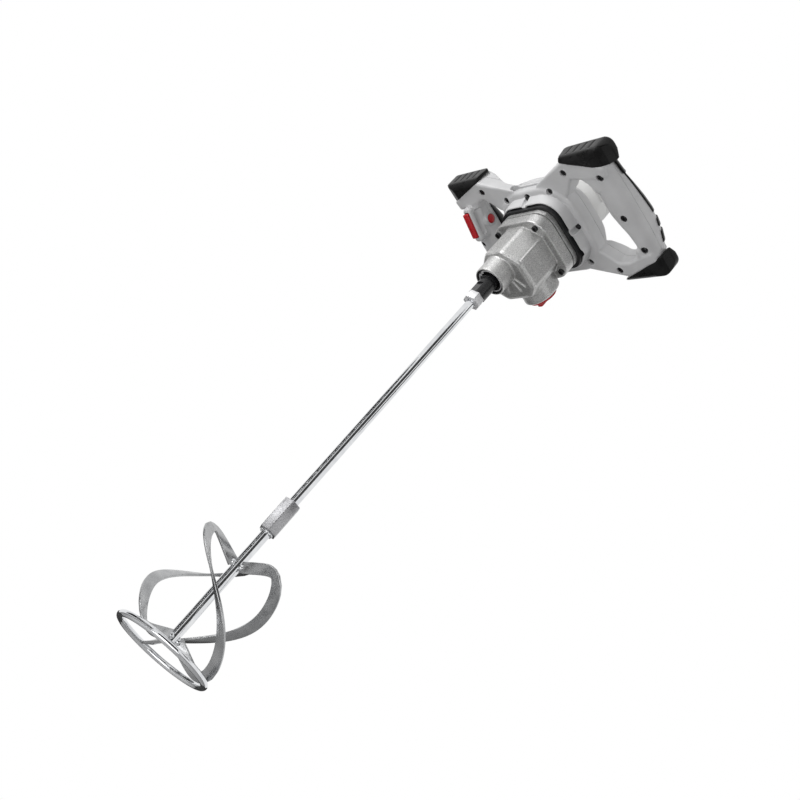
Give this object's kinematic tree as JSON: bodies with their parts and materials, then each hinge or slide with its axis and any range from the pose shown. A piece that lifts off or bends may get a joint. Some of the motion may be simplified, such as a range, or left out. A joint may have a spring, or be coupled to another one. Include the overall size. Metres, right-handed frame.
{
  "type": "mixing drill",
  "caption": "Hand-held electric mixing drill with two closed side handles, trigger, speed selector and a long rod carrying a helical paddle with a base ring.",
  "frame": {"origin": "centre of the nose collar's front face, on the spindle axis", "axes": "+Z along the spindle from the paddle up to the motor, +X to the handle without the trigger, +Y from the spindle to the motor axis"},
  "size_m": [0.3038, 0.2, 0.886],
  "materials": {
    "chromed_steel": "polished",
    "brushed_steel": "satin",
    "black_steel": "satin",
    "cast_aluminium": "cast, lightly blasted",
    "grey_plastic": "fine grain",
    "black_rubber": "satin",
    "red_plastic": "glossy",
    "black_plastic": "matte",
    "bronze": "turned",
    "copper_wire": "varnished",
    "carbon": "dull"
  },
  "bodies": {
    "housing": {"gear_case": "cast_aluminium", "bearing_plate": "cast_aluminium", "case_screws": "black_steel", "motor_housing": "grey_plastic", "rear_cover": "grey_plastic", "cover_screws": "black_steel", "cord_inlet": "black_rubber", "air_baffle": "black_plastic", "handle_front_shell": "grey_plastic", "handle_rear_shell": "grey_plastic", "bumper_cap_right_top": "black_rubber", "bumper_cap_right_bottom": "black_rubber", "bumper_cap_left_top": "black_rubber", "bumper_cap_left_bottom": "black_rubber", "grip_inlay_right": "black_rubber", "grip_inlay_left": "black_rubber", "shell_screws": "black_steel", "bearing_bridge": "cast_aluminium", "nose_seal": "black_rubber", "retaining_ring": "chromed_steel", "nose_bearing": "brushed_steel", "spindle_rear_bearing": "brushed_steel", "lay_front_bush": "bronze", "lay_rear_bearing": "brushed_steel", "selector_bush": "bronze", "armature_front_bearing": "brushed_steel", "armature_rear_bearing": "brushed_steel", "stator_core": "brushed_steel", "field_coils": "copper_wire", "carbon_brushes": "carbon", "brush_springs": "brushed_steel", "brush_holders": "black_plastic", "control_module": "black_plastic", "trigger_spring": "brushed_steel", "switch_block": "black_plastic"},
    "spindle_unit": {"spindle": "black_steel", "low_gear": "brushed_steel", "lock_nut": "chromed_steel", "upper_rod": "chromed_steel", "hex_coupling": "brushed_steel", "lower_rod": "chromed_steel", "paddle_blade_1": "chromed_steel", "paddle_blade_2": "chromed_steel", "paddle_blade_3": "chromed_steel", "paddle_ring": "chromed_steel"},
    "armature": {"armature_shaft": "brushed_steel", "armature_core": "brushed_steel", "armature_windings": "copper_wire", "commutator": "bronze", "cooling_fan": "black_plastic"},
    "lay_unit": {"lay_shaft": "brushed_steel", "lay_gear": "brushed_steel"},
    "high_gear": {"high_gear": "brushed_steel"},
    "shift_sleeve": {"shift_sleeve": "brushed_steel"},
    "shift_fork": {"shift_fork": "brushed_steel"},
    "selector_knob": {"selector_knob": "red_plastic", "selector_shaft": "brushed_steel"},
    "trigger": {"trigger": "red_plastic"},
    "lock_button": {"lock_button": "red_plastic"}
  },
  "joints": [
    {"name": "spindle_spin", "type": "hinge", "parent": "housing", "child": "spindle_unit", "pos_m": [0, 0, 0], "axis": [0, 0, 1], "continuous": true},
    {"name": "armature_spin", "type": "hinge", "parent": "housing", "child": "armature", "pos_m": [0, 0.0163, 0.16], "axis": [0, 0, 1], "continuous": true},
    {"name": "lay_spin", "type": "hinge", "parent": "housing", "child": "lay_unit", "pos_m": [0.02217, 0.01099, 0.06], "axis": [0, 0, 1], "continuous": true},
    {"name": "high_gear_spin", "type": "hinge", "parent": "housing", "child": "high_gear", "pos_m": [0, 0, 0.07], "axis": [0, 0, 1], "continuous": true},
    {"name": "selector_turn", "type": "hinge", "parent": "housing", "child": "selector_knob", "pos_m": [0.008, 0.067, 0.0565], "axis": [0, 1, 0], "range_deg": [0, 88.81]},
    {"name": "fork_slide", "type": "slide", "parent": "housing", "child": "shift_fork", "axis": [0, 0, 1], "range_m": [0, 0.007]},
    {"name": "sleeve_slide", "type": "slide", "parent": "spindle_unit", "child": "shift_sleeve", "axis": [0, 0, 1], "range_m": [0, 0.007]},
    {"name": "trigger_press", "type": "slide", "parent": "housing", "child": "trigger", "axis": [0, 0, 1], "range_m": [0, 0.006], "stiffness_N_per_m": 800, "springref_m": -0.006},
    {"name": "lock_press", "type": "slide", "parent": "housing", "child": "lock_button", "axis": [-1, 0, 0], "range_m": [0, 0.0025], "stiffness_N_per_m": 500, "springref_m": -0.003}
  ],
  "couplings": [
    {"joint": "lay_spin", "follows": "spindle_spin", "ratio": -4},
    {"joint": "armature_spin", "follows": "spindle_spin", "ratio": 21.333},
    {"joint": "high_gear_spin", "follows": "spindle_spin", "ratio": 1.5},
    {"joint": "fork_slide", "follows": "selector_turn", "m_per_rad": 0.0045138},
    {"joint": "sleeve_slide", "follows": "selector_turn", "m_per_rad": 0.0045138}
  ]
}
